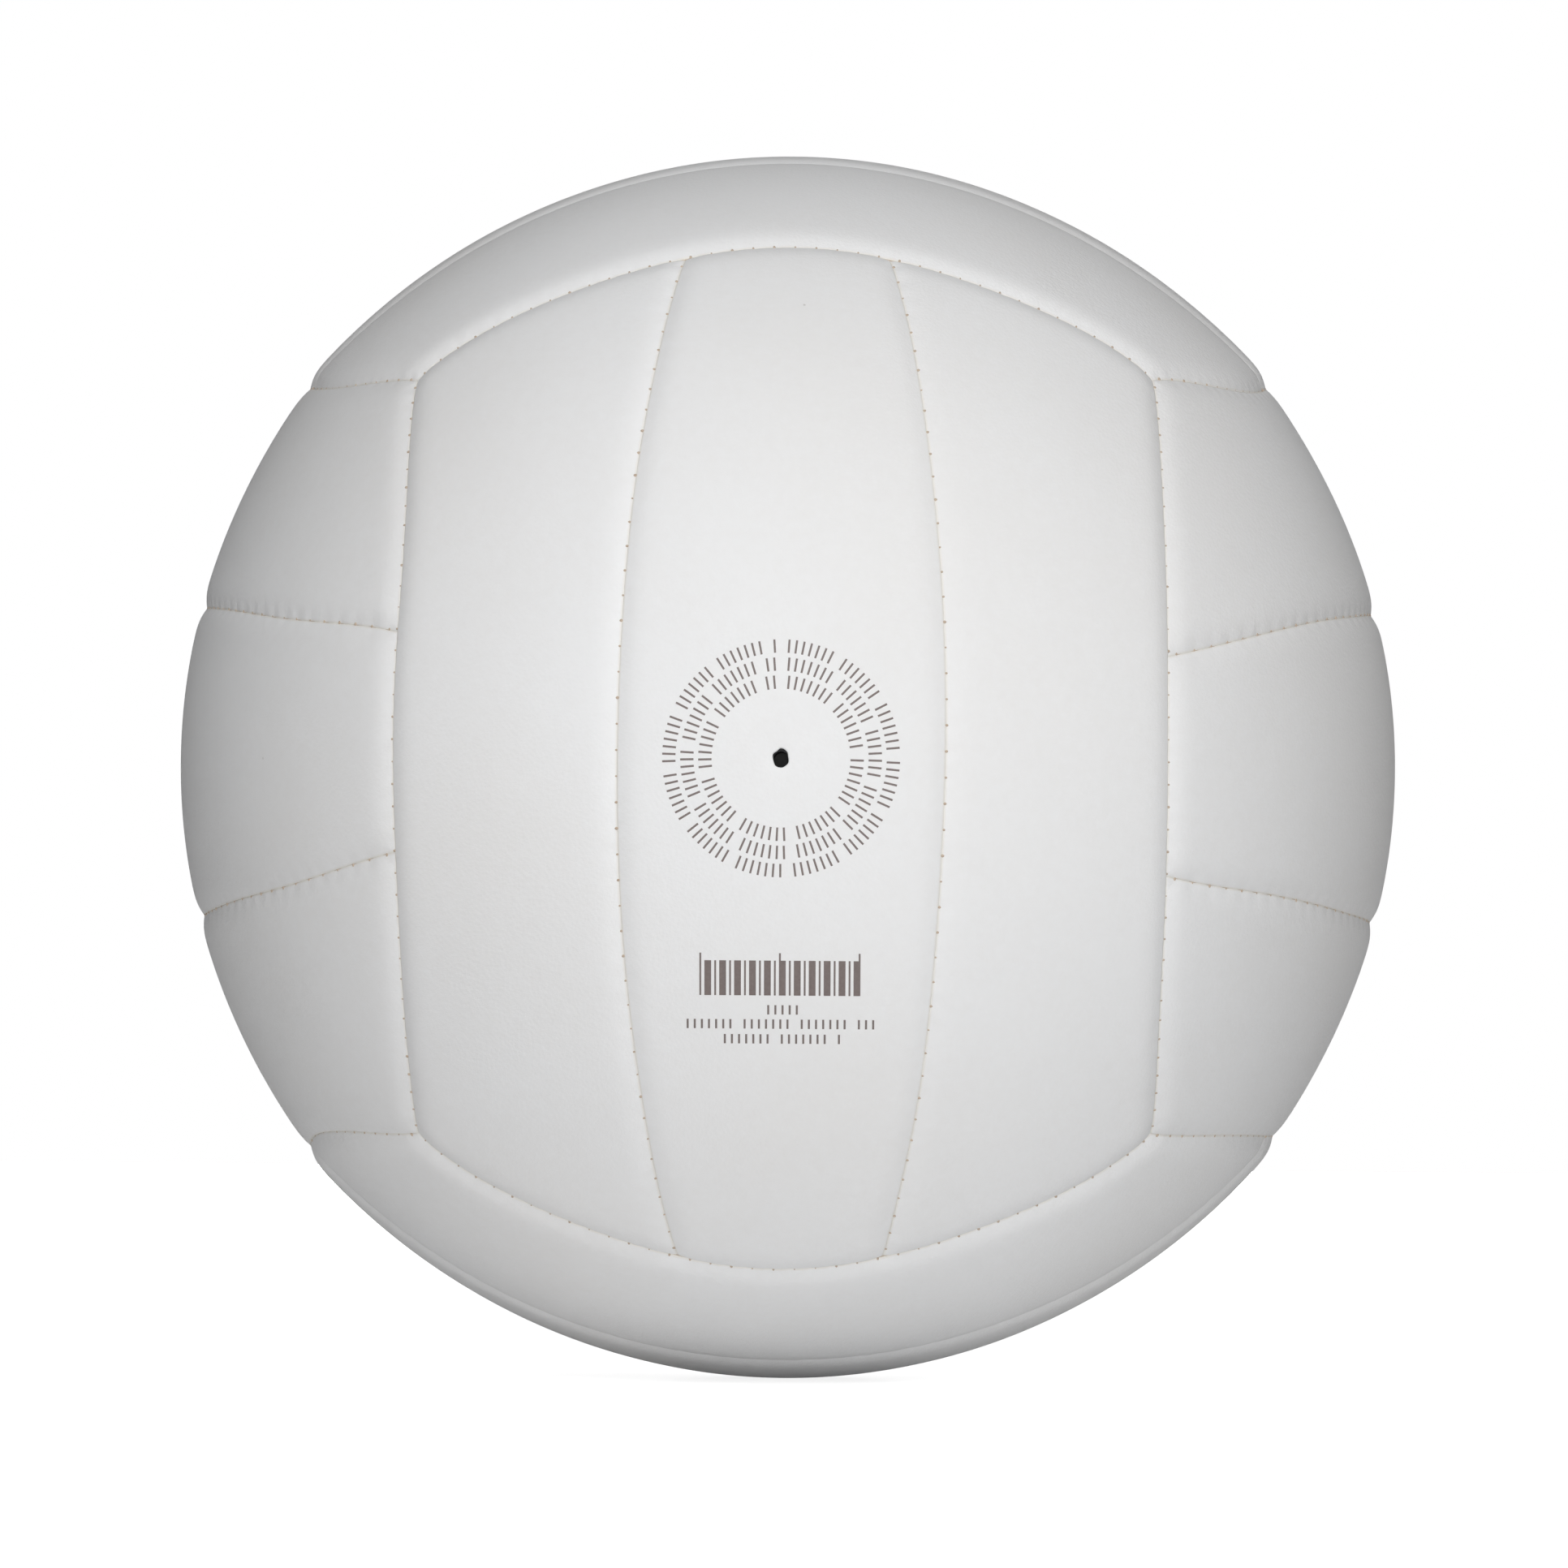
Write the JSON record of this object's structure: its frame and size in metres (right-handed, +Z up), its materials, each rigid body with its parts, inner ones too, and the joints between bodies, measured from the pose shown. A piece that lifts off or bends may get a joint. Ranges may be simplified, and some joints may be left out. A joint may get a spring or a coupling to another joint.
{
  "type": "volleyball",
  "caption": "Inflated ball of sewn white panels in strips, three to a face, with foam and cloth behind them, a rubber bladder and a needle valve.",
  "frame": {"origin": "centre of the ball", "axes": "+Z up as in the picture, -Y out of the ball at the valve, +X to the right as seen from the valve's side"},
  "size_m": [0.21, 0.21, 0.21],
  "materials": {
    "cover": "matt, finely grained white synthetic leather",
    "foam": "soft closed-cell foam",
    "backing_cloth": "plain woven cloth",
    "thread": "waxed sewing thread",
    "black_rubber": "matt butyl rubber"
  },
  "bodies": {
    "root": {"front_left_panel": "cover", "front_middle_panel": "cover", "front_right_panel": "cover", "back_left_panel": "cover", "back_middle_panel": "cover", "back_right_panel": "cover", "top_front_panel": "cover", "top_middle_panel": "cover", "top_back_panel": "cover", "bottom_front_panel": "cover", "bottom_middle_panel": "cover", "bottom_back_panel": "cover", "left_upper_panel": "cover", "left_middle_panel": "cover", "left_lower_panel": "cover", "right_upper_panel": "cover", "right_middle_panel": "cover", "right_lower_panel": "cover", "front_left_foam": "foam", "front_middle_foam": "foam", "front_right_foam": "foam", "back_left_foam": "foam", "back_middle_foam": "foam", "back_right_foam": "foam", "top_front_foam": "foam", "top_middle_foam": "foam", "top_back_foam": "foam", "bottom_front_foam": "foam", "bottom_middle_foam": "foam", "bottom_back_foam": "foam", "left_upper_foam": "foam", "left_middle_foam": "foam", "left_lower_foam": "foam", "right_upper_foam": "foam", "right_middle_foam": "foam", "right_lower_foam": "foam", "front_backing": "backing_cloth", "back_backing": "backing_cloth", "top_backing": "backing_cloth", "bottom_backing": "backing_cloth", "left_backing": "backing_cloth", "right_backing": "backing_cloth", "front_thread": "thread", "back_thread": "thread", "top_thread": "thread", "bottom_thread": "thread", "left_thread": "thread", "right_thread": "thread", "joining_thread": "thread", "bladder": "black_rubber", "valve_housing": "black_rubber", "valve_core": "black_rubber", "valve_patch": "backing_cloth"}
  },
  "joints": []
}
